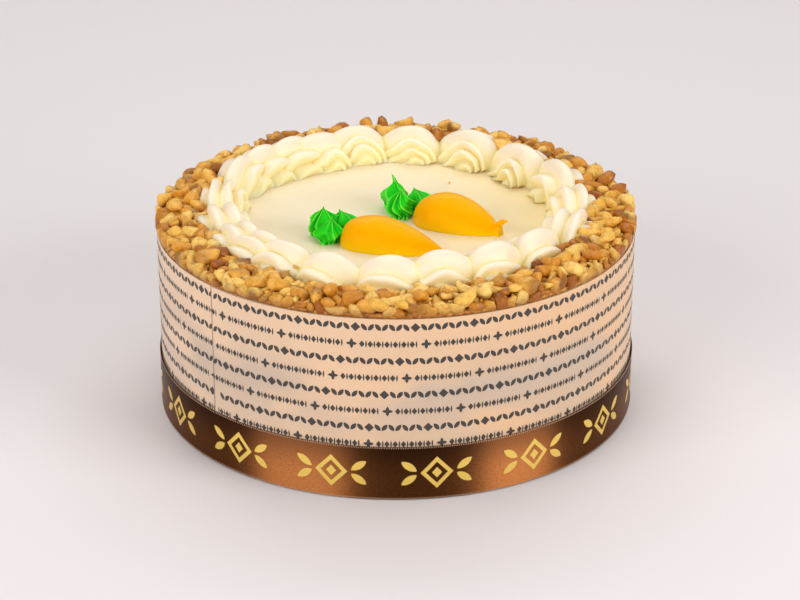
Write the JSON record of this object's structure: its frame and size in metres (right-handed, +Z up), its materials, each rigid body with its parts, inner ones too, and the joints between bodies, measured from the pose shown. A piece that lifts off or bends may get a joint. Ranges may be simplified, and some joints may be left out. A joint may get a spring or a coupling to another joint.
{
  "type": "carrot cake",
  "caption": "Round iced carrot cake with a piped shell border, a chopped walnut rim, piped carrots with leaf tufts, a printed collar band and a satin ribbon.",
  "frame": {"origin": "middle of the flat underside", "axes": "+Z up, +Y away from the side shown in the picture, +X to its right"},
  "size_m": [0.2296, 0.2296, 0.1078],
  "materials": {
    "sponge": "matte",
    "icing": "satin",
    "collar_film": "satin",
    "ribbon": "satin",
    "piped_cream": "satin",
    "walnut": "matte",
    "carrot_icing": "satin",
    "leaf_icing": "satin"
  },
  "bodies": {
    "root": {"cake_body": "sponge", "icing_top": "icing", "printed_collar": "collar_film", "satin_ribbon": "ribbon", "piped_border": "piped_cream", "walnut_rim": "walnut", "carrot_1": "carrot_icing", "carrot_2": "carrot_icing", "leaves_1": "leaf_icing", "leaves_2": "leaf_icing"}
  },
  "joints": []
}
